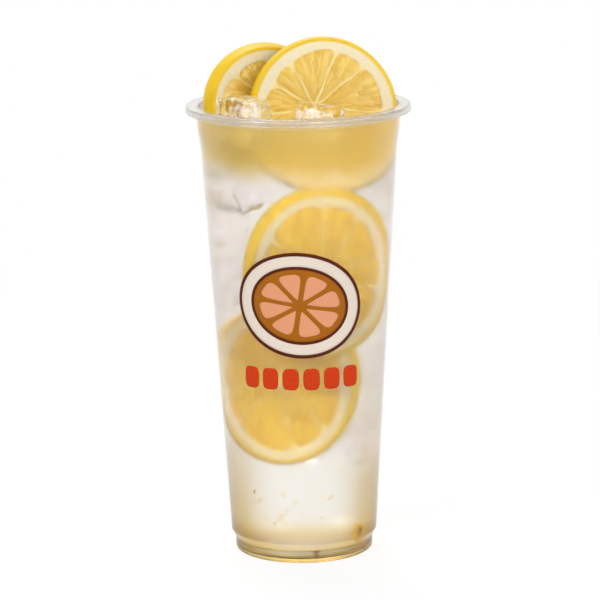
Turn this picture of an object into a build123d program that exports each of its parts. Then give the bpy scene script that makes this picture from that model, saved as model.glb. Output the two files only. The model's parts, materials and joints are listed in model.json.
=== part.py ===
"""A slim clear cup of lemonade with two lemon slices and ice cubes standing in the drink.

Units are millimetres. The origin is the middle of the cup's base on the table, +Z is up, and the
faces of the lemon slices look towards -Y.
"""

import os
from math import cos, pi, radians, sin

from build123d import *

# The cup: an injection-moulded cup with a 90 mm sealing rim and a narrower foot.
RIM_RADIUS = 45.0
CUP_HEIGHT = 182.6
RIM_DEPTH = 2.7  # how far the skirt of the rim hangs down
RIM_THICKNESS = 1.0
WALL = 0.8
FOOT_RADIUS = 27.9
FOOT_HEIGHT = 5.2
STEP_HEIGHT = 8.2  # where the wall starts, above the step over the foot
STEP_RADIUS = 29.6
SHOULDER_LOW = 165.5  # the wall widens a little over this stretch, for the lid's plug
SHOULDER_HIGH = 172.5
SHOULDER_LOW_RADIUS = 39.2
SHOULDER_HIGH_RADIUS = 40.3
MOUTH_RADIUS = 40.8  # outside of the wall where the rim leaves it
MOUTH_HEIGHT = 178.7
PUNT_HEIGHT = 1.3  # the middle of the base stands this far off the table
PUNT_RADIUS = 24.8
RING_SLOPE = 0.9  # how far out the punt's side leans on its way down to the foot's ring
FLOOR = 1.0  # thickness of the base

# The drink.
LEVEL = 177.6

# Lemon slices: a rind ring round wedge-shaped segments that sit a little below the cut face.
RIND = 4.9
SEGMENTS = 9
SEGMENT_GAP = 1.1  # width of the membrane between two segments
SEGMENT_DEPTH = 0.4
SEGMENT_CORNER = 1.2
HUB_RADIUS = 2.6
SLICE_EDGE = 0.5

# Ice cubes, as a tray or a machine makes them: slightly tapered blocks with melted edges.
ICE_TAPER = 4
ICE_EDGE = 2.4


def wall_corners(depth=0.0):
    """Corners of the wall's line from the foot up to the mouth, each with its bend radius: the line
    is the wall's outside, or lies that deep in it."""
    return [
        ((FOOT_RADIUS - depth, FOOT_HEIGHT - depth / 2), 1.0),
        ((STEP_RADIUS - depth, STEP_HEIGHT), 1.0),
        ((SHOULDER_LOW_RADIUS - depth, SHOULDER_LOW), 20.0),
        ((SHOULDER_HIGH_RADIUS - depth, SHOULDER_HIGH), 8.0),
        ((MOUTH_RADIUS - depth, MOUTH_HEIGHT), 1.0),
    ]


def cup_corners():
    """Corners of the cup's section, each with its bend radius: from the middle of the base out to the
    foot, up the wall, round the rim and its skirt, and down the inside to the floor."""
    return [
        ((PUNT_RADIUS, PUNT_HEIGHT), 0.6),
        ((PUNT_RADIUS + RING_SLOPE, 0), 0.3),
        ((FOOT_RADIUS, 0), 1.2),
        *wall_corners(),
        ((MOUTH_RADIUS, CUP_HEIGHT - RIM_THICKNESS), 0.3),
        ((RIM_RADIUS - WALL, CUP_HEIGHT - RIM_THICKNESS), 0.2),
        ((RIM_RADIUS - WALL, CUP_HEIGHT - RIM_DEPTH), 0.25),
        ((RIM_RADIUS, CUP_HEIGHT - RIM_DEPTH), 0.25),
        ((RIM_RADIUS, CUP_HEIGHT), 0.9),
        ((MOUTH_RADIUS - WALL, CUP_HEIGHT), 0.4),
        *reversed(wall_corners(WALL)),
        ((FOOT_RADIUS - WALL, PUNT_HEIGHT + FLOOR), 1.0),
    ]


def slice_plane(centre, yaw, lean):
    """A plane in the middle of a slice. Its normal looks to the front, turned to the right by yaw
    and upwards by lean, in degrees."""
    a, b = radians(yaw), radians(lean)
    return Plane(
        origin=centre,
        x_dir=(cos(a), sin(a), 0),
        z_dir=(sin(a) * cos(b), -cos(a) * cos(b), sin(b)),
    )


def lemon_slice(label, plane, radius, oval, flare, thickness, hub):
    """A cross-cut slice of a lemon. radius is half its width on the front face, oval its height over
    its width, flare how much wider the back face is, and hub where the segments meet, from the
    middle of the slice."""
    front, back = plane.offset(thickness / 2), plane.offset(-thickness / 2)
    with BuildPart() as piece:
        with BuildSketch(front):
            Ellipse(radius, radius * oval)
        with BuildSketch(back):
            Ellipse(radius + flare, (radius + flare) * oval)
        loft()
        fillet(piece.edges(), SLICE_EDGE)
        for k in range(SEGMENTS):
            extrude(segment(front, k, radius, oval, hub), -SEGMENT_DEPTH, mode=Mode.SUBTRACT)
            extrude(segment(back, k, radius + flare, oval, hub), SEGMENT_DEPTH, mode=Mode.SUBTRACT)
    piece.part.label = label
    return piece


def membrane_bearing(n):
    """Angle of membrane n round the hub. The segments differ a little in width."""
    return 2 * pi / SEGMENTS * (n + 0.16 * sin(2.4 * (n % SEGMENTS)))


def segment(plane, k, radius, oval, hub):
    """Segment k's outline on a cut face: two sides that run from the hub, and a stretch of rind."""
    first, last = membrane_bearing(k), membrane_bearing(k + 1)
    middle = (first + last) / 2

    def rind_point(angle, shift=0.0):
        """A point on the inside of the rind, moved sideways off the membrane at that angle."""
        reach = radius - RIND
        return Vector(
            reach * cos(angle) - shift * sin(angle), reach * oval * sin(angle) + shift * cos(angle)
        )

    start = rind_point(first, SEGMENT_GAP / 2)
    end = rind_point(last, -SEGMENT_GAP / 2)
    tip = Vector(*hub) + Vector(HUB_RADIUS * cos(middle), HUB_RADIUS * sin(middle))
    with BuildSketch(plane) as outline:
        with BuildLine():
            Line(tip, start)
            ThreePointArc(start, rind_point(middle), end)
            Line(end, tip)
        make_face()
        by_reach = outline.vertices().sort_by_distance(plane.from_local_coords(tip))
        fillet(by_reach[1:], SEGMENT_CORNER)
    return outline.sketch


def ice_cube(label, centre, turns, width, depth, height):
    """A tapered block with melted edges, turned about X, Y and Z by turns in degrees."""
    plane = Plane(Location(centre, turns))
    with BuildPart() as piece:
        with BuildSketch(plane.offset(-height / 2)):
            Rectangle(width, depth)
        extrude(amount=height, taper=ICE_TAPER)
        fillet(piece.edges(), ICE_EDGE)
    piece.part.label = label
    return piece


with BuildPart() as cup:
    with BuildSketch(Plane.XZ):
        with BuildLine():
            FilletPolyline(
                (0, PUNT_HEIGHT),
                *(corner for corner, bend in cup_corners()),
                (0, PUNT_HEIGHT + FLOOR),
                radius=[bend for corner, bend in cup_corners()],
            )
            Line((0, PUNT_HEIGHT + FLOOR), (0, PUNT_HEIGHT))
        make_face()
    revolve(axis=Axis.Z)
cup.part.label = "cup"

garnish = [
    lemon_slice(
        "lemon_slice_front",
        slice_plane(centre=(10.2, -4.4, 179.2), yaw=10, lean=12),
        radius=29.0, oval=1.02, flare=1.0, thickness=5.0, hub=(-4.0, 2.6),
    ),
    lemon_slice(
        "lemon_slice_back",
        slice_plane(centre=(-12.8, 6.2, 182.4), yaw=24, lean=6),
        radius=24.2, oval=0.91, flare=2.0, thickness=5.2, hub=(1.5, -1.0),
    ),
    ice_cube("ice_cube_left", (-21.4, -20.4, 179.0), (5, -4, -46), 25, 14, 19.5),
    ice_cube("ice_cube_middle", (7.6, -21.6, 177.0), (-9, 7, 12), 22, 16, 18),
    ice_cube("ice_cube_back", (-8.6, 25.4, 176.8), (5, 8, -14), 18, 15, 17),
]

# The drink's own outline runs through the middle of the wall and the floor. Cutting the cup from it
# leaves what the cup holds.
with BuildPart() as lemonade:
    with BuildSketch(Plane.XZ):
        with BuildLine():
            Polyline(
                (0, LEVEL),
                (SHOULDER_HIGH_RADIUS - WALL / 2, LEVEL),
                *(corner for corner, bend in reversed(wall_corners(WALL / 2)[:-1])),
                (FOOT_RADIUS - WALL / 2, PUNT_HEIGHT + FLOOR / 2),
                (0, PUNT_HEIGHT + FLOOR / 2),
                close=True,
            )
        make_face()
    revolve(axis=Axis.Z)
    add(cup.part, mode=Mode.SUBTRACT)
    for piece in garnish:
        add(piece.part, mode=Mode.SUBTRACT)
lemonade.part.label = "lemonade"

os.makedirs("parts", exist_ok=True)
for piece in (cup, lemonade, *garnish):
    export_step(piece.part, f"parts/{piece.part.label}.step")
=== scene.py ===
"""A tall clear plastic cup of iced lemonade, with lemon slices in it and standing out of its mouth.

The looks around the CAD model, in metres and in its frame: +Z is up and the printed front faces -Y.
"""

import json
import math
import random

import bmesh
import bpy
import numpy as np
from mathutils import Matrix, Vector, noise

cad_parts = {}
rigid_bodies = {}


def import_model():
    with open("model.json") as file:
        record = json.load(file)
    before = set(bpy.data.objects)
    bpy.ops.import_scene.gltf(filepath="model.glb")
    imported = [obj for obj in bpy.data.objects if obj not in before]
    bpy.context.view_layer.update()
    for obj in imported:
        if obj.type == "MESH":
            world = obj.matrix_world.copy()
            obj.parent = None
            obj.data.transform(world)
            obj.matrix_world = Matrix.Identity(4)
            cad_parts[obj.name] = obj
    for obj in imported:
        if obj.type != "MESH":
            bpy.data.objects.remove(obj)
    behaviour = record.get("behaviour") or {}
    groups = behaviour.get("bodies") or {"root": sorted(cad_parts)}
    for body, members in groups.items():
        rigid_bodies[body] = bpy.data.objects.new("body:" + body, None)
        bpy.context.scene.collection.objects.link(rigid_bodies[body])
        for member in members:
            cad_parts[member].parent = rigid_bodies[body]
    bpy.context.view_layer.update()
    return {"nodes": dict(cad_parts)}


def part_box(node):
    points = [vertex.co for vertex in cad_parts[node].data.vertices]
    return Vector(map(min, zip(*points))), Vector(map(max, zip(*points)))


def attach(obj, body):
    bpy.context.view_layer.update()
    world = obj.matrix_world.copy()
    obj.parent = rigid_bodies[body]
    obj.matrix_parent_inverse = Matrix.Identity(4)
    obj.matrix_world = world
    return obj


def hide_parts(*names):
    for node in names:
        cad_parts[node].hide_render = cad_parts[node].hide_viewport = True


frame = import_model()

MM = 0.001
TAU = 2 * math.pi
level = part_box("lemonade")[1].z
floor_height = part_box("lemonade")[0].z

# The drink.
INTO_WALL = 0.35 * MM  # how far it reaches into the wall, so that no air shows between them
MENISCUS = 0.9 * MM  # how far it creeps up the wall
MENISCUS_REACH = 1.4 * MM  # how far from the wall the creeping dies away
TURNS = 256  # steps round a turned piece
PULP_SWIRLS = 22 * MM  # how broad the waves are in the lower edge of the pulp that has floated up
PULP_WAVE = 12 * MM  # from the deepest of those waves to the shallowest

# Cut lemon.
ZEST = 1.3 * MM  # the yellow outer skin
RIND = 4.9 * MM  # zest and pith together
SEGMENTS = 9
MEMBRANE = 0.65 * MM
SAC_LENGTH = 5.0 * MM  # the juice sacs that fill a segment
SAC_WIDTH = 1.4 * MM
OIL_PORES = 1.1 * MM  # from one oil pore in the zest to the next
PITH_SPONGE = 1.1 * MM  # real pith's holes are half this, too fine to show, so they are drawn coarser
ZEST_MOTTLING = 6 * MM
JUICE_RIPPLES = 1.3 * MM  # the film of juice follows the ends of the sacs
PIP_GRAIN = 0.8 * MM  # a pip's fibres are far finer, so they are drawn as coarse as they show

# Ice.
MELTED_DIPS = 5 * MM
SUNK_DIPS = 6 * MM  # deeper in the drink the ice melts more evenly
FROZEN_PUFFS = 4.5 * MM  # swirls in the cloud of frozen bubbles
ICE_CELL = 1.1 * MM  # size of the quads of a sunk block
ICE_OFF_WALL = 1.2 * MM  # how far a sunk block keeps off the wall

# The print.
INK = 0.05 * MM  # how thick the film of ink is
INK_MARKS = 0.9 * MM  # the screen's own mesh marks are a tenth of this, so they are drawn coarser
EMBLEM = (-0.6 * MM, 107.6 * MM)  # its middle, as a distance round the wall and a height
EMBLEM_TILT = math.radians(-9)
FIELD_WIDE, FIELD_HIGH = 19.0, 14.6  # half the width and the height of the emblem's field, in mm
WEDGES = 8
ROW_HEIGHT = 77.4 * MM
ROW_STEP = 8.3 * MM
ROW_BLOCKS = 6


# ---------------------------------------------------------------- colours, nodes and materials


def linear(code):
    """An sRGB hex colour as the linear RGBA that Blender's sockets hold."""
    parts = [int(code[i:i + 2], 16) / 255 for i in (0, 2, 4)]
    return (*(c / 12.92 if c <= 0.04045 else ((c + 0.055) / 1.055) ** 2.4 for c in parts), 1.0)


def add_node(tree, kind, feeds=None, stops=None, **settings):
    """Add a node to a tree. settings are its own properties, stops a colour ramp's places and colours,
    and feeds says what each input gets: another node's output, or a value."""
    node = tree.nodes.new(kind)
    for name, value in settings.items():
        setattr(node, name, value)
    if stops:
        ramp = node.color_ramp.elements
        while len(ramp) < len(stops):
            ramp.new(0.5)
        for element, (place, colour) in zip(ramp, stops):
            element.position, element.color = place, colour
    for name, value in (feeds or {}).items():
        if isinstance(value, bpy.types.NodeSocket):
            tree.links.new(value, node.inputs[name])
        else:
            node.inputs[name].default_value = value
    return node


def new_material(name):
    """An empty material, as its tree and its output node."""
    material = bpy.data.materials.new(name)
    material.use_nodes = True
    material.node_tree.nodes.clear()
    output = material.node_tree.nodes.new("ShaderNodeOutputMaterial")
    return material, material.node_tree, output


def lets_lamps_in(tree, shader, output, share):
    """Show a clear shader, and let that share of the lamps' light straight through to what is inside."""
    path = add_node(tree, "ShaderNodeLightPath")
    veil = add_node(tree, "ShaderNodeBsdfTransparent", {"Color": (share, share, share, 1)})
    both = add_node(tree, "ShaderNodeMixShader", {
        0: path.outputs["Is Shadow Ray"], 1: shader.outputs["BSDF"], 2: veil.outputs["BSDF"],
    })
    tree.links.new(both.outputs["Shader"], output.inputs["Surface"])


def moulded_polypropylene():
    """Injection-moulded random-copolymer polypropylene. Its crystals make the clear wall a little hazy,
    so what is behind it blurs with distance. The rolled rim and the thick base show more of its
    greyish and straw-like tint than the thin wall does."""
    material, tree, output = new_material("injection_moulded_polypropylene")
    place = add_node(tree, "ShaderNodeTexCoord")
    height = add_node(tree, "ShaderNodeSeparateXYZ", {"Vector": place.outputs["Object"]})
    rim = add_node(tree, "ShaderNodeMapRange", {
        "Value": height.outputs["Z"], "From Min": level - 1 * MM, "From Max": level + 2 * MM,
    }, interpolation_type="SMOOTHSTEP")
    base = add_node(tree, "ShaderNodeMapRange", {
        "Value": height.outputs["Z"], "From Min": 9 * MM, "From Max": 1 * MM,
    }, interpolation_type="SMOOTHSTEP")
    wall = add_node(tree, "ShaderNodeMix", {
        "Factor": rim.outputs["Result"], "A": linear("FDFCFC"), "B": linear("E9E5E1"),
    }, data_type="RGBA")
    tinted = add_node(tree, "ShaderNodeMix", {
        "Factor": base.outputs["Result"], "A": wall.outputs["Result"], "B": linear("FFEDB0"),
    }, data_type="RGBA")
    haze = add_node(tree, "ShaderNodeMapRange", {
        "Value": rim.outputs["Result"], "To Min": 0.13, "To Max": 0.24,
    })
    milky = add_node(tree, "ShaderNodeMapRange", {
        "Value": rim.outputs["Result"], "To Min": 0.994, "To Max": 0.93,
    })
    shader = add_node(tree, "ShaderNodeBsdfPrincipled", {
        "Base Color": tinted.outputs["Result"],
        "Roughness": haze.outputs["Result"],
        "IOR": 1.42,
        "Transmission Weight": milky.outputs["Result"],
        "Coat Weight": 0.4,
        "Coat Roughness": 0.05,
    })
    tint = add_node(tree, "ShaderNodeVolumeAbsorption", {"Color": linear("DCC98F"), "Density": 7.0})
    lets_lamps_in(tree, shader, output, 0.95)
    tree.links.new(tint.outputs["Volume"], output.inputs["Volume"])
    return material


def cloudy_lemonade():
    """Lemonade with a little pulp in it: nearly clear, with painted shade at its sides, where its colour
    turns tan as the surface turns away from the eye, most near the bottom, for the dimmer room that the
    round body bends into view. Under the surface floated pulp makes it yellow and milky, down to a soft wavy
    edge. It never gets quite clear, so what is deeper in the drink looks softer."""
    material, tree, output = new_material("cloudy_lemonade")
    place = add_node(tree, "ShaderNodeTexCoord")
    height = add_node(tree, "ShaderNodeSeparateXYZ", {"Vector": place.outputs["Object"]})
    swirls = add_node(tree, "ShaderNodeTexNoise", {
        "Vector": place.outputs["Object"], "Scale": 1 / PULP_SWIRLS, "Detail": 2.0,
    })
    wavy = add_node(tree, "ShaderNodeMath", {
        0: swirls.outputs["Fac"], 1: PULP_WAVE, 2: height.outputs["Z"],
    }, operation="MULTIPLY_ADD")
    floated = add_node(tree, "ShaderNodeMapRange", {
        "Value": wavy.outputs["Value"], "From Min": level - 18 * MM, "From Max": level - 6 * MM,
    }, interpolation_type="SMOOTHSTEP")
    bottom = add_node(tree, "ShaderNodeMapRange", {
        "Value": height.outputs["Z"], "From Min": 75 * MM, "From Max": 5 * MM,
    }, interpolation_type="SMOOTHSTEP")
    # Painted shade: where the surface turns away from the eye the colour goes from clear to a tan that is
    # nearly white high up and deepest near the bottom, for the dimmer room that the round body would bend
    # into view.
    side = add_node(tree, "ShaderNodeLayerWeight", {"Blend": 0.5})
    painted_side_shade = add_node(tree, "ShaderNodeMapRange", {
        "Value": side.outputs["Facing"], "From Min": 0.03, "From Max": 0.2,
    }, interpolation_type="SMOOTHSTEP")
    edge = add_node(tree, "ShaderNodeMix", {
        "Factor": bottom.outputs["Result"], "A": linear("F3EDE2"), "B": linear("CFB05C"),
    }, data_type="RGBA")
    body = add_node(tree, "ShaderNodeMix", {
        "Factor": painted_side_shade.outputs["Result"], "A": linear("FFFEFA"), "B": edge.outputs["Result"],
    }, data_type="RGBA")
    colour = add_node(tree, "ShaderNodeMix", {
        "Factor": floated.outputs["Result"], "A": body.outputs["Result"], "B": linear("E2C662"),
    }, data_type="RGBA")
    haze = add_node(tree, "ShaderNodeMapRange", {
        "Value": floated.outputs["Result"], "To Min": 0.29, "To Max": 0.55,
    })
    milky = add_node(tree, "ShaderNodeMapRange", {
        "Value": floated.outputs["Result"], "To Min": 1.0, "To Max": 0.62,
    })
    shader = add_node(tree, "ShaderNodeBsdfPrincipled", {
        "Base Color": colour.outputs["Result"],
        "Roughness": haze.outputs["Result"],
        "IOR": 1.333,
        "Transmission Weight": milky.outputs["Result"],
    })
    tint = add_node(tree, "ShaderNodeVolumeAbsorption", {"Color": linear("FCF1C8"), "Density": 2.0})
    lets_lamps_in(tree, shader, output, 0.98)
    tree.links.new(tint.outputs["Volume"], output.inputs["Volume"])
    return material


def clear_ice():
    """Ice from an ice machine: wet and clear. Its surface has melted unevenly, so it bends what is behind
    it and glints in small spots."""
    material, tree, output = new_material("clear_wet_ice")
    place = add_node(tree, "ShaderNodeTexCoord")
    melt = add_node(tree, "ShaderNodeTexNoise", {
        "Vector": place.outputs["Object"], "Scale": 1 / MELTED_DIPS, "Detail": 2.0,
    })
    relief = add_node(tree, "ShaderNodeBump", {
        "Strength": 0.35, "Distance": 1.0 * MM, "Height": melt.outputs["Fac"],
    })
    shader = add_node(tree, "ShaderNodeBsdfPrincipled", {
        "Base Color": linear("FBFAFA"),
        "Roughness": 0.04,
        "IOR": 1.31,
        "Transmission Weight": 1.0,
        "Normal": relief.outputs["Normal"],
    })
    lets_lamps_in(tree, shader, output, 0.95)
    return material


def sunk_ice():
    """The same ice under the surface, where the drink around it takes most of its gleam away."""
    material, tree, output = new_material("ice_in_the_drink")
    place = add_node(tree, "ShaderNodeTexCoord")
    melt = add_node(tree, "ShaderNodeTexNoise", {
        "Vector": place.outputs["Object"], "Scale": 1 / SUNK_DIPS, "Detail": 2.0,
    })
    relief = add_node(tree, "ShaderNodeBump", {
        "Strength": 0.4, "Distance": 1.0 * MM, "Height": melt.outputs["Fac"],
    })
    shader = add_node(tree, "ShaderNodeBsdfPrincipled", {
        "Base Color": linear("FCFAFE"),
        "Roughness": 0.15,
        "IOR": 1.09,  # near 1, as ice bends light about as much as the drink round it
        "Transmission Weight": 1.0,
        "Normal": relief.outputs["Normal"],
    })
    lets_lamps_in(tree, shader, output, 0.95)
    return material


def cloud_in_ice():
    """Tiny air bubbles frozen into the middle of a cube: a soft white cloud with no sharp outline."""
    material, tree, output = new_material("bubble_cloud_in_ice")
    place = add_node(tree, "ShaderNodeTexCoord")
    puffs = add_node(tree, "ShaderNodeTexNoise", {
        "Vector": place.outputs["Object"], "Scale": 1 / FROZEN_PUFFS, "Detail": 5.0, "Roughness": 0.6,
    })
    side = add_node(tree, "ShaderNodeLayerWeight", {"Blend": 0.5})
    dense = add_node(tree, "ShaderNodeMapRange", {
        "Value": puffs.outputs["Fac"], "From Min": 0.38, "From Max": 0.68, "To Max": 0.55,
    }, interpolation_type="SMOOTHSTEP")
    fading = add_node(tree, "ShaderNodeMapRange", {
        "Value": side.outputs["Facing"], "From Min": 0.75, "From Max": 0.1,
    }, interpolation_type="SMOOTHSTEP")
    alpha = add_node(tree, "ShaderNodeMath", {
        0: dense.outputs["Result"], 1: fading.outputs["Result"],
    }, operation="MULTIPLY")
    shader = add_node(tree, "ShaderNodeBsdfPrincipled", {
        "Base Color": linear("FAF7FB"),
        "Roughness": 0.9,
        "Specular IOR Level": 0.1,
        "Alpha": alpha.outputs["Value"],
    })
    tree.links.new(shader.outputs["BSDF"], output.inputs["Surface"])
    return material


def cut_lemon(name, pulp_tones, pith_tones, zest_tones, wetness):
    """Cut lemon. The mesh says where it is zest, pith, membrane or pulp: zest is waxy with oil pores,
    pith is dull and spongy, and pulp is juice sacs that let light through and gleam in small spots.
    Each pair of tones is mixed unevenly. wetness is the gloss of the film of juice: 1 in air and 0 in
    the drink. A wet slice that dips into the drink has floated pulp over it there, thick under the
    surface and thinner below, which evens its colours out."""
    material, tree, output = new_material(name)
    place = add_node(tree, "ShaderNodeTexCoord")
    height = add_node(tree, "ShaderNodeSeparateXYZ", {"Vector": place.outputs["Object"]})
    veiled = add_node(tree, "ShaderNodeMapRange", {
        "Value": height.outputs["Z"], "From Min": level - 1 * MM, "From Max": level - 6 * MM,
        "To Max": 0.95 * wetness,
    }, interpolation_type="SMOOTHSTEP")
    thinner = add_node(tree, "ShaderNodeMapRange", {
        "Value": height.outputs["Z"], "From Min": level - 10 * MM, "From Max": level - 24 * MM,
    }, interpolation_type="SMOOTHSTEP")
    veil = add_node(tree, "ShaderNodeMix", {
        "Factor": thinner.outputs["Result"], "A": linear("CDB149"), "B": linear("DCC572"),
    }, data_type="RGBA")
    pulp, zest, rind, sac = (
        add_node(tree, "ShaderNodeAttribute", attribute_name=mark).outputs["Fac"]
        for mark in ("pulp", "zest", "rind", "sac")
    )
    flesh = add_node(tree, "ShaderNodeMix", {
        "Factor": sac, "A": linear(pulp_tones[0]), "B": linear(pulp_tones[1]),
    }, data_type="RGBA")
    spongy = add_node(tree, "ShaderNodeTexNoise", {
        "Vector": place.outputs["Object"], "Scale": 1 / PITH_SPONGE, "Detail": 3.0,
    })
    pith = add_node(tree, "ShaderNodeMix", {
        "Factor": spongy.outputs["Fac"], "A": linear(pith_tones[0]), "B": linear(pith_tones[1]),
    }, data_type="RGBA")
    mottled = add_node(tree, "ShaderNodeTexNoise", {
        "Vector": place.outputs["Object"], "Scale": 1 / ZEST_MOTTLING, "Detail": 4.0,
    })
    skin = add_node(tree, "ShaderNodeMix", {
        "Factor": mottled.outputs["Fac"], "A": linear(zest_tones[0]), "B": linear(zest_tones[1]),
    }, data_type="RGBA")
    inside = add_node(tree, "ShaderNodeMix", {
        "Factor": pulp, "A": linear("E6CF86"), "B": flesh.outputs["Result"],
    }, data_type="RGBA")
    cut = add_node(tree, "ShaderNodeMix", {
        "Factor": rind, "A": inside.outputs["Result"], "B": pith.outputs["Result"],
    }, data_type="RGBA")
    bare = add_node(tree, "ShaderNodeMix", {
        "Factor": zest, "A": cut.outputs["Result"], "B": skin.outputs["Result"],
    }, data_type="RGBA")
    colour = add_node(tree, "ShaderNodeMix", {
        "Factor": veiled.outputs["Result"], "A": bare.outputs["Result"],
        "B": veil.outputs["Result"],
    }, data_type="RGBA")
    juicy = add_node(tree, "ShaderNodeMapRange", {"Value": zest, "To Min": wetness, "To Max": 0.2 * wetness})
    dullness = add_node(tree, "ShaderNodeMapRange", {"Value": pulp, "To Min": 0.42, "To Max": 0.16})
    pores = add_node(tree, "ShaderNodeTexVoronoi", {
        "Vector": place.outputs["Object"], "Scale": 1 / OIL_PORES,
    })
    dimples = add_node(tree, "ShaderNodeBump", {
        "Strength": 0.25, "Distance": 0.2 * MM, "Height": pores.outputs["Distance"],
    })
    juice = add_node(tree, "ShaderNodeTexNoise", {
        "Vector": place.outputs["Object"], "Scale": 1 / JUICE_RIPPLES, "Detail": 2.0,
    })
    film = add_node(tree, "ShaderNodeBump", {
        "Strength": 1.0, "Distance": 0.45 * MM, "Height": juice.outputs["Fac"],
        "Normal": dimples.outputs["Normal"],
    })
    shader = add_node(tree, "ShaderNodeBsdfPrincipled", {
        "Base Color": colour.outputs["Result"],
        "Roughness": dullness.outputs["Result"],
        "IOR": 1.36,
        "Specular IOR Level": 0.08 + 0.42 * wetness,
        "Subsurface Weight": 0.5,
        "Subsurface Radius": (1.0, 0.8, 0.22),
        "Subsurface Scale": 3.0 * MM,
        "Coat Weight": juicy.outputs["Result"],
        "Coat Roughness": 0.03,
        "Coat Normal": film.outputs["Normal"],
        "Normal": dimples.outputs["Normal"],
    })
    tree.links.new(shader.outputs["BSDF"], output.inputs["Surface"])
    return material


def screen_ink(name, code):
    """Screen-printed ink: a thin, even, slightly satin film on the outside of the wall."""
    material, tree, output = new_material(name)
    place = add_node(tree, "ShaderNodeTexCoord")
    film = add_node(tree, "ShaderNodeTexNoise", {
        "Vector": place.outputs["Object"], "Scale": 1 / INK_MARKS, "Detail": 2.0,
    })
    relief = add_node(tree, "ShaderNodeBump", {
        "Strength": 0.08, "Distance": 0.05 * MM, "Height": film.outputs["Fac"],
    })
    shader = add_node(tree, "ShaderNodeBsdfPrincipled", {
        "Base Color": linear(code),
        "Roughness": 0.45,
        "IOR": 1.5,
        "Specular IOR Level": 0.15,
        "Normal": relief.outputs["Normal"],
    })
    tree.links.new(shader.outputs["BSDF"], output.inputs["Surface"])
    return material


def pip_material():
    """A lemon pip's wet parchment-like coat, golden brown."""
    material, tree, output = new_material("wet_lemon_pip")
    place = add_node(tree, "ShaderNodeTexCoord")
    grain = add_node(tree, "ShaderNodeTexNoise", {
        "Vector": place.outputs["Object"], "Scale": 1 / PIP_GRAIN, "Detail": 3.0,
    })
    colour = add_node(tree, "ShaderNodeMix", {
        "Factor": grain.outputs["Fac"], "A": linear("7A4A12"), "B": linear("B8812E"),
    }, data_type="RGBA")
    shader = add_node(tree, "ShaderNodeBsdfPrincipled", {
        "Base Color": colour.outputs["Result"],
        "Roughness": 0.5,
        "Specular IOR Level": 0.1,
    })
    tree.links.new(shader.outputs["BSDF"], output.inputs["Surface"])
    return material


def bubble_material():
    """Air bubbles in the drink: light bends the other way in them, so they show a dark rim."""
    material, tree, output = new_material("air_bubble")
    shader = add_node(tree, "ShaderNodeBsdfPrincipled", {
        "Base Color": (1, 1, 1, 1),
        "Roughness": 0.02,
        "IOR": 0.78,  # that of air over that of the drink, a little nearer to 1 for a softer rim
        "Transmission Weight": 1.0,
    })
    lets_lamps_in(tree, shader, output, 1.0)
    return material


# ---------------------------------------------------------------- building pieces


def finish_piece(piece, material, slot, *nodes):
    """Give a piece its material and its place in the record, for the CAD nodes it stands for."""
    piece.data.materials.clear()
    piece.data.materials.append(material)
    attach(piece, "root")
    if nodes:
        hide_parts(*nodes)
    return piece


def linked(name, data):
    """A new object in the scene that holds that mesh, lamp or camera."""
    piece = bpy.data.objects.new(name, data)
    bpy.context.scene.collection.objects.link(piece)
    return piece


def new_piece(name, points, faces):
    """A smooth-shaded mesh object."""
    mesh = bpy.data.meshes.new(name)
    mesh.from_pydata([tuple(p) for p in points], [], faces)
    mesh.validate()
    mesh.shade_smooth()
    return linked(name, mesh)


def built_piece(name, build):
    """A smooth-shaded mesh object out of a bmesh, which is used up."""
    mesh = bpy.data.meshes.new(name)
    build.to_mesh(mesh)
    build.free()
    mesh.shade_smooth()
    return linked(name, mesh)


def marked(piece, **marks):
    """Give a piece its marks for the lemon material: each is one number for the whole piece, or one for
    each of its points."""
    for title, value in marks.items():
        attribute = piece.data.attributes.new(title, "FLOAT", "POINT")
        attribute.data.foreach_set("value", np.full(len(piece.data.vertices), value, np.float32))
    return piece


def ring_faces(rings, steps, first=0):
    """Quads between rings of points that each go once round."""
    faces = []
    for ring in range(rings - 1):
        for step in range(steps):
            a, b = first + ring * steps + step, first + ring * steps + (step + 1) % steps
            faces.append((a, b, b + steps, a + steps))
    return faces


def turned(name, outline):
    """A closed body of revolution from the (radius, height) points of its outline. The first and the
    last point are on the axis."""
    angles = np.arange(TURNS) * TAU / TURNS
    points = []
    for radius, height in outline[1:-1]:
        for angle in angles:
            points.append((radius * math.cos(angle), radius * math.sin(angle), height))
    faces = ring_faces(len(outline) - 2, TURNS)
    bottom, top = len(points), len(points) + 1
    points += [(0, 0, outline[0][1]), (0, 0, outline[-1][1])]
    last = (len(outline) - 3) * TURNS
    for step in range(TURNS):
        after = (step + 1) % TURNS
        faces.append((bottom, after, step))
        faces.append((top, last + step, last + after))
    return new_piece(name, points, faces)


def wall_radius(height, inside=False):
    """The cup's radius at a height, on the outside of its wall or on the inside."""
    if inside:
        start, way = Vector((0, 0, height)), Vector((0, -1, 0))
    else:
        start, way = Vector((0, -0.1, height)), Vector((0, 1, 0))
    place = frame["nodes"]["cup"].ray_cast(start, way)[1]
    return abs(place.y)


def slice_frame(node):
    """Where a CAD slice lies: the middle of its front face, the way that faces, and its thickness."""
    mesh = frame["nodes"][node].data
    facing = Vector((0, -1, 0))
    for attempt in range(6):
        front = [p for p in mesh.polygons if p.normal.dot(facing) > 0.8 + 0.03 * attempt]
        facing = sum((p.area * p.normal for p in front), Vector()).normalized()
    sideways = Vector((0, 0, 1)).cross(facing).normalized()
    upwards = facing.cross(sideways)
    reach = [facing.dot(v.co) for v in mesh.vertices]
    near = [v.co for v in mesh.vertices if facing.dot(v.co) > max(reach) - 0.1 * MM]
    across = [sideways.dot(c) for c in near]
    along = [upwards.dot(c) for c in near]
    centre = (
        sideways * (max(across) + min(across)) / 2
        + upwards * (max(along) + min(along)) / 2
        + facing * max(reach)
    )
    return centre, facing, max(reach) - min(reach)


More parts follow.
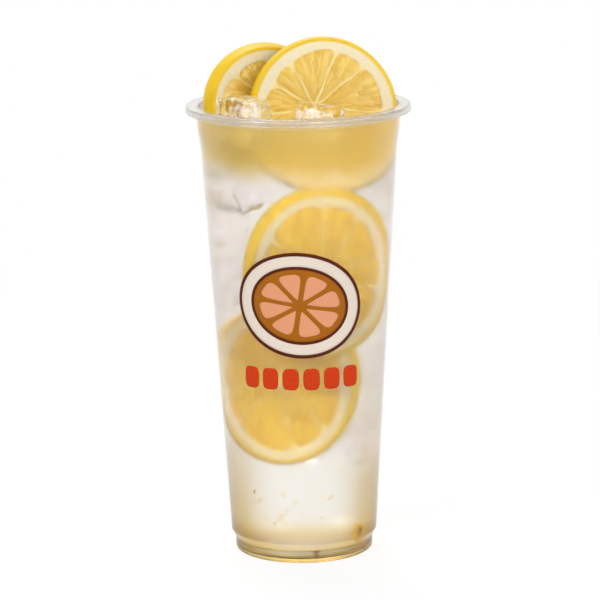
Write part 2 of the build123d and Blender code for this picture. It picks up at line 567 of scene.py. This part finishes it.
def cells(a, b, seed):
    """Cell noise on the unit grid of a and b: distance to the nearest and the second nearest seed, and
    the nearest one's own number from 0 to 1."""
    nearest, second, tone = np.full(a.shape, 9.0), np.full(a.shape, 9.0), np.zeros(a.shape)
    for da in (-1, 0, 1):
        for db in (-1, 0, 1):
            i, j = np.floor(a) + da, np.floor(b) + db
            # The odd numbers only scramble i and j into a place for each cell's seed.
            mix = np.sin(i * 127.1 + j * 311.7 + seed * 74.7) * 43758.5453
            u = mix - np.floor(mix)
            mix = np.sin(i * 269.5 + j * 183.3 + seed * 12.9) * 24634.6345
            v = mix - np.floor(mix)
            away = np.hypot(i + 0.15 + 0.7 * u - a, j + 0.15 + 0.7 * v - b)
            closer = away < nearest
            second = np.where(closer, nearest, np.minimum(second, away))
            tone = np.where(closer, (u * 7.3 + v * 3.1) % 1.0, tone)
            nearest = np.where(closer, away, nearest)
    return nearest, second, tone


def smooth_step(low, high, value):
    """0 up to low, 1 from high on, and a smooth change between them. low may be the greater."""
    t = np.clip((value - low) / (high - low), 0, 1)
    return t * t * (3 - 2 * t)


def soft_least(values, softness):
    """The least of several distances, with round corners."""
    return -softness * np.log(sum(np.exp(-v / softness) for v in values))


def membrane_bearing(n, spin):
    """Angle of membrane n round the hub. The segments differ a little in width."""
    return spin + TAU / SEGMENTS * (n + 0.16 * math.sin(2.4 * (n % SEGMENTS)))


def cut_face(angle, share, radius, oval, hub, spin, seed, membrane):
    """A cut face in polar steps about the hub: for each angle and each share of the way out, the point,
    how far it stands off the cut plane, and how far it is pulp, zest and rind, with its juice sac's
    tone."""
    # The way out from the hub along each angle ends on the ellipse.
    cosine, sine = np.cos(angle), np.sin(angle)
    squares = (cosine / radius) ** 2 + (sine / (radius * oval)) ** 2
    mixed = hub[0] * cosine / radius ** 2 + hub[1] * sine / (radius * oval) ** 2
    rest = (hub[0] / radius) ** 2 + (hub[1] / (radius * oval)) ** 2 - 1
    way = (-mixed + np.sqrt(mixed ** 2 - squares * rest)) / squares
    out = share * way
    depth = way - out  # from the outside of the skin

    # The rind is a little uneven, and so are the sides of the segments.
    rind = RIND * (1 + 0.09 * np.sin(3 * angle + seed) + 0.05 * np.sin(7 * angle + 2 * seed))
    bearings = np.array([membrane_bearing(n, spin) for n in range(SEGMENTS + 1)])
    turn = bearings[0] + (angle - bearings[0]) % TAU
    k = np.clip(np.searchsorted(bearings, turn, side="right") - 1, 0, SEGMENTS - 1)
    wobble = 0.25 * MM * np.sin(out / (2.3 * MM) + 5 * k)
    notch = membrane / 2 + 0.9 * MM * smooth_step(5 * MM, 0, depth - rind) ** 2
    first = out * np.sin(np.clip(turn - bearings[k], 0, math.pi / 2)) - notch + wobble
    last = out * np.sin(np.clip(bearings[k + 1] - turn, 0, math.pi / 2)) - notch - wobble
    core = out - (1.6 + 0.6 * np.sin(4 * k + seed)) * MM
    # The corners at the rind are rounder than those at the hub.
    softness = (0.2 + 0.7 * smooth_step(12 * MM, 2 * MM, depth - rind)) * MM
    inside = soft_least([first, last, depth - rind, core], softness)
    pulp = smooth_step(-0.15 * MM, 0.25 * MM, inside)
    pith = smooth_step(0.9 * MM, 0.1 * MM, depth - rind)
    zest = 1 - smooth_step(ZEST * 0.75, ZEST * 1.25, depth)

    # The juice sacs point outwards, and each one swells out of the cut.
    lengthwise = out / SAC_LENGTH + 0.4 * np.sin(9 * angle)
    across = turn * (radius - RIND) / SAC_WIDTH + 0.25 * np.sin(out / (1.8 * MM))
    nearest, second, tone = cells(lengthwise, across, seed)
    swell = (1 - nearest ** 2) * smooth_step(0.0, 0.22, second - nearest)
    height = pulp * (0.2 * swell - 0.35 + 0.4 * smooth_step(0, 3 * MM, inside)) * MM
    return out * cosine + hub[0], out * sine + hub[1], height, pulp, zest, pith * (1 - pulp), tone


def lemon_slice(
    name, centre, facing, radius, oval, flare, thickness, hub, spin, seed, steps, rings, membrane
):
    """A slice cut across a lemon. centre is the middle of the front face, radius half its width there,
    oval its height over its width, and flare how much wider the back face is."""
    facing = Vector(facing).normalized()
    sideways = Vector((0, 0, 1)).cross(facing).normalized()
    upwards = facing.cross(sideways)
    angle = np.arange(steps) * TAU / steps
    share = np.linspace(0.03, 1, rings)
    grid_angle, grid_share = np.meshgrid(angle, share)

    layers = []
    fronts = cut_face(grid_angle, grid_share, radius, oval, hub, spin, seed, membrane)
    backs = cut_face(grid_angle, grid_share, radius + flare, oval, hub, spin, seed + 3, membrane)
    for ring in range(rings):
        layers.append([part[ring] for part in fronts])
    edge = layers[-1]
    far = [part[-1] for part in backs]
    side_steps = 9
    one = np.ones(steps)
    for step in range(1, side_steps):
        t = step / side_steps
        bulge = 1 + 0.012 * math.sin(math.pi * t)
        x = (edge[0] * (1 - t) + far[0] * t) * bulge
        y = (edge[1] * (1 - t) + far[1] * t) * bulge
        layers.append((x, y, -thickness * t * one, 0 * one, one, 0 * one, 0.5 * one))
    for ring in reversed(range(rings)):
        x, y, height, *looks = (part[ring] for part in backs)
        layers.append((x, y, -thickness - height, *looks))

    flat = [np.concatenate([layer[i] for layer in layers]) for i in range(7)]
    points = [
        centre + sideways * float(x) + upwards * float(y) + facing * float(h)
        for x, y, h in zip(*flat[:3])
    ]
    faces = [face[::-1] for face in ring_faces(len(layers), steps)]
    middle = len(points)
    points.append(centre + sideways * hub[0] + upwards * hub[1])
    points.append(centre + sideways * hub[0] + upwards * hub[1] - facing * thickness)
    last = (len(layers) - 1) * steps
    for step in range(steps):
        after = (step + 1) % steps
        faces.append((middle, step, after))
        faces.append((middle + 1, last + after, last + step))
    pulp, zest, rind, sac = (np.append(values, (0.0, 0.0)) for values in flat[3:])
    return marked(new_piece(name, points, faces), pulp=pulp, zest=zest, rind=rind, sac=sac)


def rough_block(name, centre, turns, size, seed, cell=ICE_CELL):
    """An ice block with melted edges: a box whose sides are rounded off and then worn unevenly."""
    half = Vector(size) / 2
    edge = 0.24 * min(half) * 2
    block = bmesh.new()
    bmesh.ops.create_cube(block, size=2.0)
    cuts = int(max(size) / cell)
    bmesh.ops.subdivide_edges(block, edges=block.edges[:], cuts=cuts, use_grid_fill=True)
    place = Matrix.Translation(centre) @ Matrix.Rotation(turns[2], 4, "Z")
    place = place @ Matrix.Rotation(turns[1], 4, "Y") @ Matrix.Rotation(turns[0], 4, "X")
    drift = Vector((seed * 3.7, seed * 1.9, seed * 5.3))
    for vertex in block.verts:
        p = Vector(c * h for c, h in zip(vertex.co, half))
        core = Vector(max(-(h - edge), min(h - edge, c)) for c, h in zip(p, half))
        away = (p - core).normalized()
        p = core + away * edge
        worn = noise.noise(p / (7 * MM) + drift) * 0.9 + noise.noise(p / (2.6 * MM) + drift) * 0.22
        vertex.co = place @ (p - away * (0.45 + worn) * MM)
    return built_piece(name, block)


def joined(name, parts):
    """Several objects made into one."""
    merged = bmesh.new()
    for part in parts:
        merged.from_mesh(part.data)
        bpy.data.objects.remove(part)
    return built_piece(name, merged)


# ---------------------------------------------------------------- the cup and the drink

cup = frame["nodes"]["cup"]
cup.data.materials.clear()
cup.data.materials.append(moulded_polypropylene())


def drink_outline():
    """The drink's section: over the floor, up inside the wall, and across the surface."""
    heights = np.concatenate([
        np.linspace(floor_height + 0.2 * MM, floor_height + 9 * MM, 26),
        np.linspace(floor_height + 11 * MM, level, 60),
    ])
    foot = wall_radius(floor_height + 2 * MM, inside=True) - 1.5 * MM
    outline = [(0, floor_height - INTO_WALL), (foot, floor_height - INTO_WALL)]
    outline += [(wall_radius(h, inside=True) + INTO_WALL, h) for h in heights]
    rim = wall_radius(level, inside=True)
    outline.append((rim + INTO_WALL, level + MENISCUS))
    for step in range(9):
        away = step / 8 * 5 * MM
        outline.append((rim - away, level + MENISCUS * math.exp(-away / MENISCUS_REACH)))
    return outline + [(rim * 0.6, level), (rim * 0.3, level), (0, level)]


drink = turned("drink", drink_outline())
finish_piece(drink, cloudy_lemonade(), "drink", "lemonade")

# ---------------------------------------------------------------- lemon slices

lemon = cut_lemon(
    "wet_cut_lemon", ("D6AA34", "E6C65C"), ("D6C89E", "E8DCBA"), ("D6AE00", "E4C200"), 1.0
)
# The lemon in the drink has no wet gloss, and its tones are painted a little brighter and more saturated
# than the wet slices' tones, to make up for the light that the wall and the drink take from it.
soaked_lemon_painted_brighter = cut_lemon(
    "soaked_cut_lemon_painted_brighter", ("DAAC14", "E8C43C"), ("DCCB92", "E8DDBC"), ("DAB200", "E6C600"), 0.0
)
garnish_looks = {
    "lemon_slice_front": dict(
        radius=29.0 * MM, oval=1.02, flare=1.0 * MM, hub=(-4.0 * MM, 2.6 * MM), spin=math.radians(-8),
        seed=1, steps=540, rings=72,
    ),
    "lemon_slice_back": dict(
        radius=24.2 * MM, oval=0.91, flare=2.0 * MM, hub=(1.5 * MM, -1.0 * MM), spin=math.radians(15),
        seed=2, steps=400, rings=56,
    ),
}
for node, looks in garnish_looks.items():
    centre, facing, thickness = slice_frame(node)
    piece = lemon_slice(
        node.replace("lemon_slice", "cut_lemon"), centre, facing, thickness=thickness,
        membrane=MEMBRANE, **looks
    )
    finish_piece(piece, lemon, "lemon", node)


def sunk_slice(name, yaw, lean, away, aside, height, **looks):
    """A slice that hangs in the drink. away is how far its middle lies from the cup's axis, towards
    where the slice faces, and aside is how far it lies to the right of that."""
    a, b = math.radians(yaw), math.radians(lean)
    facing = Vector((math.sin(a) * math.cos(b), -math.cos(a) * math.cos(b), math.sin(b)))
    out, right = Vector((math.sin(a), -math.cos(a), 0)), Vector((math.cos(a), math.sin(a), 0))
    centre = out * away + right * aside + Vector((0, 0, height)) + facing * looks["thickness"] / 2
    piece = lemon_slice(name, centre, facing, steps=360, rings=48, membrane=MEMBRANE * 0.7, **looks)
    finish_piece(piece, soaked_lemon_painted_brighter, "lemon")
    return piece


sunk_slice(
    "sunk_lemon_upper", yaw=15, lean=-4, away=16.6 * MM, aside=2.4 * MM, height=117.2 * MM,
    radius=27.0 * MM, oval=1.25, flare=1.6 * MM, thickness=4.4 * MM, hub=(1 * MM, 0), spin=0.3, seed=5,
)
sunk_slice(
    "sunk_lemon_lower", yaw=-8, lean=12, away=5.5 * MM, aside=-5.5 * MM, height=70.6 * MM,
    radius=25 * MM, oval=1.28, flare=0.6 * MM, thickness=4.2 * MM, hub=(-1 * MM, 1 * MM), spin=0.6, seed=8,
)

# ---------------------------------------------------------------- ice

ice, cloud = clear_ice(), cloud_in_ice()


def melted(node, seed):
    """A CAD ice cube with its surface worn unevenly, inside its own outline."""
    source = linked(node + "_worn", frame["nodes"][node].data.copy())
    fine = source.modifiers.new("fine", "REMESH")
    fine.mode, fine.voxel_size = "VOXEL", 0.5 * MM
    soft = source.modifiers.new("soft", "SMOOTH")
    soft.iterations = 6
    shape = source.evaluated_get(bpy.context.evaluated_depsgraph_get())
    mesh = bpy.data.meshes.new_from_object(shape)
    bpy.data.objects.remove(source)
    drift = Vector((seed * 4.1, seed * 2.3, seed * 1.7))
    moves = []
    for vertex in mesh.vertices:
        worn = 0.45 + 0.6 * noise.noise(vertex.co / (6 * MM) + drift)
        worn += 0.2 * abs(noise.noise(vertex.co / (2.2 * MM) + drift))
        moves.append(vertex.co - vertex.normal * worn * 1.1 * MM)
    for vertex, place in zip(mesh.vertices, moves):
        vertex.co = place
    mesh.shade_smooth()
    return linked(node.replace("ice_cube", "floating_ice"), mesh)


def core_of(block, share, seed):
    """The middle of an ice block, shrunk towards its centre and made uneven."""
    data = block.data.copy()
    middle = sum((v.co for v in data.vertices), Vector()) / len(data.vertices)
    drift = Vector((seed * 1.3, seed * 2.9, seed * 0.7))
    for vertex in data.vertices:
        arm = vertex.co - middle
        uneven = 1 + 0.35 * noise.noise(arm.normalized() * 1.6 + drift)
        vertex.co = middle + arm * share * uneven
    return linked("core", data)


cores = []
for seed, node in enumerate(("ice_cube_left", "ice_cube_middle", "ice_cube_back")):
    piece = melted(node, seed)
    cores.append(core_of(piece, 0.66, seed))
    finish_piece(piece, ice, "ice", node)

# Every 31st corner of the slices is enough to tell how near a thing is to them.
slices = [o for o in bpy.data.objects if o.name.startswith(("cut_lemon", "sunk_lemon"))]
slice_spots = np.concatenate([[v.co for v in list(o.data.vertices)[::31]] for o in slices])
ice_places = []


def hides_slice(centre, radius):
    """True where a ball of that size would stand between the front of the wall and a slice. Near the
    surface, where floated pulp hides the slices anyway, it may."""
    apart = slice_spots - np.array(centre)
    behind = (apart[:, 1] > 0) & (np.hypot(apart[:, 0], apart[:, 2]) < radius * 0.6)
    return centre.y < 0 and bool(behind.any()) and centre.z < level - 30 * MM


def has_room(centre, radius):
    """True where a ball of that size is clear of the slices and of the ice so far."""
    if np.min(np.linalg.norm(slice_spots - np.array(centre), axis=1)) < radius * 1.25:
        return False
    return all((centre - c).length >= (radius + r) * 0.94 for c, r in ice_places)


def scattered_ice():
    """Ice that fills the drink between the slices, each piece clear of the wall, of the slices and of
    the others. The first pieces lie at the front wall, left above and right below; the rest are
    anywhere, big ones first."""
    rand = random.Random(11)
    parts = []
    # Size in mm, how many places are tried, bearings in degrees, heights in mm, and if it's at the wall.
    plans = [
        (17, 160, (-165, -120), (98, 152), True),
        (16, 160, (-60, -15), (46, 90), True),
        (12, 160, (-165, -110), (90, 152), True),
    ]
    plans += [(size, 320, (0, 360), (43, 152), False) for size in (22, 21, 18, 14, 11)]
    for size, tries, bearings, heights, at_wall in plans:
        for attempt in range(tries):
            radius = 0.6 * size * MM
            height = rand.uniform(*heights) * MM
            reach = wall_radius(height, inside=True) - radius - ICE_OFF_WALL
            bearing = math.radians(rand.uniform(*bearings))
            away = reach if at_wall else reach * math.sqrt(rand.random())
            centre = Vector((away * math.cos(bearing), away * math.sin(bearing), height))
            if hides_slice(centre, radius) or not has_room(centre, radius):
                continue
            ice_places.append((centre, radius))
            turns = [rand.uniform(-1.2, 1.2), rand.uniform(-1.2, 1.2), rand.uniform(0, TAU)]
            shape = [size * MM * rand.uniform(0.84, 1.0) for axis in range(3)]
            parts.append(rough_block(f"block{len(parts)}", centre, turns, shape, len(parts)))
    return parts


blocks = scattered_ice()
cores += [core_of(block, 0.72, 10 + i) for i, block in enumerate(blocks)]
finish_piece(joined("sunk_ice", blocks), sunk_ice(), "ice")
finish_piece(joined("clouds_in_ice", cores), cloud, "ice")


def ball(place, radius, stretch, turn):
    """A small ball, stretched along its own length and turned about Z, with a lean."""
    round_one = bmesh.new()
    bmesh.ops.create_icosphere(round_one, subdivisions=2, radius=radius)
    turns = Matrix.Rotation(turn, 4, "Z") @ Matrix.Rotation(turn * 3, 4, "Y")
    round_one.transform(Matrix.Translation(place) @ turns @ Matrix.Diagonal((stretch, 1, 1, 1)))
    return built_piece("ball", round_one)


def scattered_balls(count, sizes, stretch, heights, near_wall, seed):
    """Small round things in the drink, clear of the slices and the ice. sizes are radii, and these and
    heights are in mm."""
    rand = random.Random(seed)
    found = []
    while len(found) < count:
        height = rand.uniform(*heights) * MM
        radius = rand.uniform(*sizes) * MM
        most = wall_radius(height, inside=True) - (radius * stretch + 0.15 * MM)
        away = most * (1 if near_wall else math.sqrt(rand.random()))
        bearing = rand.uniform(0, TAU)
        place = Vector((away * math.cos(bearing), away * math.sin(bearing), height))
        if has_room(place, radius * stretch + 0.6 * MM):
            found.append(ball(place, radius, stretch, rand.uniform(0, TAU)))
    return found


# Loose juice sacs, drawn out along their length, and round air bubbles, most of them on the wall.
sacs = scattered_balls(110, (0.25, 0.42), 3.2, (8, 165), near_wall=False, seed=5)
loose_pulp = marked(joined("loose_juice_sacs", sacs), pulp=1.0, sac=0.9)
finish_piece(loose_pulp, soaked_lemon_painted_brighter, "drink")
bubbles = scattered_balls(90, (0.14, 0.32), 1.0, (12, 172), near_wall=True, seed=6)
bubbles += scattered_balls(40, (0.15, 0.3), 1.0, (60, 170), near_wall=False, seed=7)
finish_piece(joined("air_bubbles", bubbles), bubble_material(), "drink")

# A scrap of lemon with a pip in front of it, and a crumb, all near the floor of the cup.
scrap_place = Vector((20.6 * MM, -14.4 * MM, floor_height + 7.4 * MM))
scrap = rough_block(
    "lemon_scrap", scrap_place, turns=(0.2, 0.5, 0.6), size=(7 * MM, 3.2 * MM, 7 * MM), seed=4,
    cell=0.6 * MM,
)
finish_piece(marked(scrap, pulp=1.0, sac=1.0), soaked_lemon_painted_brighter, "lemon")
pip = rough_block(
    "pip", scrap_place + Vector((1.4, -2.4, 0.6)) * MM, turns=(0.1, 0.2, 0.2),
    size=(1.3 * MM, 1.3 * MM, 4 * MM), seed=9, cell=0.4 * MM,
)
crumb = rough_block(
    "crumb", Vector((4.6 * MM, -21.5 * MM, floor_height + 1.3 * MM)), turns=(0.4, 0.9, 0),
    size=(1.9 * MM,) * 3, seed=2, cell=0.4 * MM,
)
finish_piece(joined("pip_and_crumb", [pip, crumb]), pip_material(), "lemon")

# ---------------------------------------------------------------- the print


def on_wall(x, z, lift=0.06 * MM):
    """The point of the cup's outside at that distance round the front and that height."""
    radius = wall_radius(z)
    return Vector(((radius + lift) * math.sin(x / radius), -(radius + lift) * math.cos(x / radius), z))


def ink_patch(name, inner, outer, ink, steps=160, rings=5):
    """Ink between two closed lines on the wall. Each line gives (x, z) for an angle."""
    points = []
    for ring in range(rings):
        t = ring / (rings - 1)
        for step in range(steps):
            angle = TAU * step / steps
            a, b = inner(angle), outer(angle)
            points.append(on_wall(a[0] + (b[0] - a[0]) * t, a[1] + (b[1] - a[1]) * t))
    piece = new_piece(name, points, ring_faces(rings, steps))
    film = piece.modifiers.new("film", "SOLIDIFY")
    film.thickness, film.offset = INK, 1
    finish_piece(piece, ink, "print")
    return piece


def on_emblem(x, z):
    """A point of the emblem, given from its middle as if it stood straight."""
    return (
        EMBLEM[0] + x * math.cos(EMBLEM_TILT) - z * math.sin(EMBLEM_TILT),
        EMBLEM[1] + x * math.sin(EMBLEM_TILT) + z * math.cos(EMBLEM_TILT),
    )


def oval_line(wide, high):
    """An oval of the emblem, half as wide and as high as given in mm, as a function of the angle."""
    return lambda angle: on_emblem(wide * MM * math.cos(angle), high * MM * math.sin(angle))


def squarer(wave, power):
    """A sine or cosine whose swings are broader, which turns an oval into a rounded block."""
    return math.copysign(abs(wave) ** power, wave)


def wedge_line(first, last, near, far, gap):
    """A round-cornered wedge of the emblem's fruit between two angles and two distances from its
    middle, as a function of the angle round the wedge. gap is half the space between two wedges."""
    middle = (first + last) / 2

    def line(angle):
        away = (near + far) / 2 + (far - near) / 2 * squarer(math.cos(angle), 0.6)
        aside = (away * math.sin((last - first) / 2) - gap) * squarer(math.sin(angle), 0.6)
        x = away * math.cos(middle) - aside * math.sin(middle)
        z = away * math.sin(middle) + aside * math.cos(middle)
        return on_emblem(x, z * FIELD_HIGH / FIELD_WIDE)
    return line


def block_line(centre, wide, high):
    """A rounded block on the wall, half as wide and as high as given, as a function of the angle."""
    return lambda angle: (
        centre[0] + wide * squarer(math.cos(angle), 0.55),
        centre[1] + high * squarer(math.sin(angle), 0.55),
    )


brown, cream = screen_ink("brown_screen_ink", "531C04"), screen_ink("cream_screen_ink", "D3C6B8")
ochre, peach = screen_ink("ochre_screen_ink", "9A5800"), screen_ink("peach_screen_ink", "D08E68")
red = screen_ink("orange_red_screen_ink", "BF3300")

# The emblem: a cut fruit as bands between ovals, from the outside in, with wedges on the innermost.
outlines = [(26.2, 21.4), (24.8, 20.0), (20.2, 15.8), (FIELD_WIDE, FIELD_HIGH), (0.0, 0.0)]
bands = [
    ("emblem_outline", brown, 5), ("emblem_band", cream, 5), ("emblem_inner_line", brown, 5),
    ("emblem_field", ochre, 14),
]
for (name, ink, rings), outer, inner in zip(bands, outlines, outlines[1:]):
    ink_patch(name, oval_line(*inner), oval_line(*outer), ink, rings=rings)
for n in range(WEDGES):
    outer = wedge_line(TAU * n / WEDGES, TAU * (n + 1) / WEDGES, 3.2 * MM, 16.4 * MM, 0.8 * MM)
    middle = (Vector(outer(0)) * 2 + Vector(outer(math.pi))) / 3
    wedge = ink_patch(f"emblem_wedge_{n + 1}", lambda angle: middle, outer, peach, rings=7)
    for vertex in wedge.data.vertices:
        # Over the field's ink.
        vertex.co += Vector((vertex.co.x, vertex.co.y, 0)).normalized() * 0.06 * MM

# The row of plain blocks under it.
for n in range(ROW_BLOCKS):
    spot = ((n - (ROW_BLOCKS - 1) / 2) * ROW_STEP - 0.4 * MM, ROW_HEIGHT)
    ink_patch(f"row_block_{n + 1}", lambda angle: spot, block_line(spot, 3.3 * MM, 4.4 * MM), red)

# ---------------------------------------------------------------- stage, lamps and camera


def stage_floor():
    """A wide white table top. The eye sees it nearly white, and it keeps the cup's shadow."""
    bpy.ops.mesh.primitive_plane_add(size=12)
    floor = bpy.context.object
    floor.name = "floor"
    material, tree, output = new_material("white_table_top")
    path = add_node(tree, "ShaderNodeLightPath")
    place = add_node(tree, "ShaderNodeTexCoord")
    apart = add_node(tree, "ShaderNodeSeparateXYZ", {"Vector": place.outputs["Object"]})
    behind = add_node(tree, "ShaderNodeMapRange", {
        "Value": apart.outputs["Y"], "From Min": -0.1, "From Max": 0.15, "To Min": 0.45, "To Max": 1.0,
    }, interpolation_type="SMOOTHSTEP")
    mirrored = add_node(tree, "ShaderNodeMath", {
        0: path.outputs["Is Glossy Ray"], 1: behind.outputs["Result"],
    }, operation="MULTIPLY")
    through = add_node(tree, "ShaderNodeMath", {
        0: mirrored.outputs[0], 1: path.outputs["Is Transmission Ray"],
    }, operation="MAXIMUM")
    away = add_node(tree, "ShaderNodeVectorMath", {0: place.outputs["Object"]}, operation="LENGTH")
    plain = add_node(tree, "ShaderNodeMapRange", {
        "Value": away.outputs["Value"], "From Min": 0.05, "From Max": 0.6, "To Min": 0.72, "To Max": 1.0,
    }, interpolation_type="SMOOTHSTEP")
    seen = add_node(tree, "ShaderNodeMath", {
        0: path.outputs["Is Camera Ray"], 1: plain.outputs["Result"],
    }, operation="MULTIPLY")
    share = add_node(tree, "ShaderNodeMath", {
        0: seen.outputs[0], 1: through.outputs[0],
    }, operation="MAXIMUM")
    dim = add_node(tree, "ShaderNodeMix", {
        "Factor": path.outputs["Is Glossy Ray"], "A": linear("F6F6F6"), "B": linear("202020"),
    }, data_type="RGBA")
    matt = add_node(tree, "ShaderNodeBsdfDiffuse", {"Color": dim.outputs["Result"]})
    white = add_node(tree, "ShaderNodeEmission", {"Color": (1, 1, 1, 1), "Strength": 1.0})
    mixed = add_node(tree, "ShaderNodeMixShader", {
        0: share.outputs[0], 1: matt.outputs[0], 2: white.outputs[0],
    })
    tree.links.new(mixed.outputs[0], output.inputs["Surface"])
    floor.data.materials.append(material)


def studio_world():
    """White behind the cup and, for the eye, all round. The room in front is dimmer, so the cup's gloss
    shows the lamps and not a flat white."""
    world = bpy.data.worlds.new("studio")
    bpy.context.scene.world = world
    world.use_nodes = True
    tree = world.node_tree
    tree.nodes.clear()
    output = tree.nodes.new("ShaderNodeOutputWorld")
    path = add_node(tree, "ShaderNodeLightPath")
    place = add_node(tree, "ShaderNodeTexCoord")
    towards = add_node(tree, "ShaderNodeSeparateXYZ", {"Vector": place.outputs["Generated"]})
    room = add_node(tree, "ShaderNodeMapRange", {
        "Value": towards.outputs["Y"], "From Min": -0.6, "From Max": 0.35, "To Min": 0.28, "To Max": 1.0,
    }, interpolation_type="SMOOTHSTEP")
    seen = add_node(tree, "ShaderNodeMath", {
        0: path.outputs["Is Camera Ray"], 1: path.outputs["Is Transmission Ray"],
    }, operation="MAXIMUM")
    soft = add_node(tree, "ShaderNodeBackground", {"Color": (1, 1, 1, 1), "Strength": 0.75})
    shown = add_node(tree, "ShaderNodeBackground", {
        "Color": (1, 1, 1, 1), "Strength": room.outputs["Result"],
    })
    white = add_node(tree, "ShaderNodeBackground", {"Color": (1, 1, 1, 1), "Strength": 1.0})
    glossy = add_node(tree, "ShaderNodeMixShader", {
        0: path.outputs["Is Glossy Ray"], 1: soft.outputs[0], 2: shown.outputs[0],
    })
    mixed = add_node(tree, "ShaderNodeMixShader", {
        0: seen.outputs[0], 1: glossy.outputs[0], 2: white.outputs[0],
    })
    tree.links.new(mixed.outputs[0], output.inputs["Surface"])


def softbox(name, place, target, size, power):
    """A square soft lamp that looks at a point."""
    light = bpy.data.lights.new(name, "AREA")
    light.size, light.energy = size, power
    lamp = linked(name, light)
    lamp.location = place
    lamp.rotation_euler = (target - Vector(place)).to_track_quat("-Z", "Y").to_euler()


# Places in metres and powers in watts. The small glint lamp makes the wet fruit and the ice sparkle.
waist = Vector((0, 0, 0.1))
stage_floor()
studio_world()
softbox("key", (-0.8, -0.8, 0.95), waist, 0.35, 5.0)
softbox("fill", (0.8, -0.8, 0.5), waist, 0.7, 2.9)
softbox("glint", (0.45, -1.15, 0.48), Vector((0, 0, 0.18)), 0.12, 1.8)
softbox("top", (-0.1, 0.5, 1.1), waist, 0.5, 4)

# A long lens 1.3 m away, looking down on the cup by 12 degrees and rolled by a little under 1.
camera_data = bpy.data.cameras.new("camera")
camera_data.lens = 197.5
camera_data.sensor_width = 36
camera_data.clip_end = 50
camera = linked("camera", camera_data)
camera.location = (-0.0004, -1.3, 0.379)
camera.rotation_euler = (
    Matrix.Rotation(math.radians(90 - 12.01), 3, "X") @ Matrix.Rotation(math.radians(-0.8), 3, "Z")
).to_euler()

scene = bpy.context.scene
scene.camera = camera
scene.view_settings.view_transform = "Standard"
scene.cycles.max_bounces = 24
scene.cycles.transmission_bounces = 24
scene.cycles.transparent_max_bounces = 16
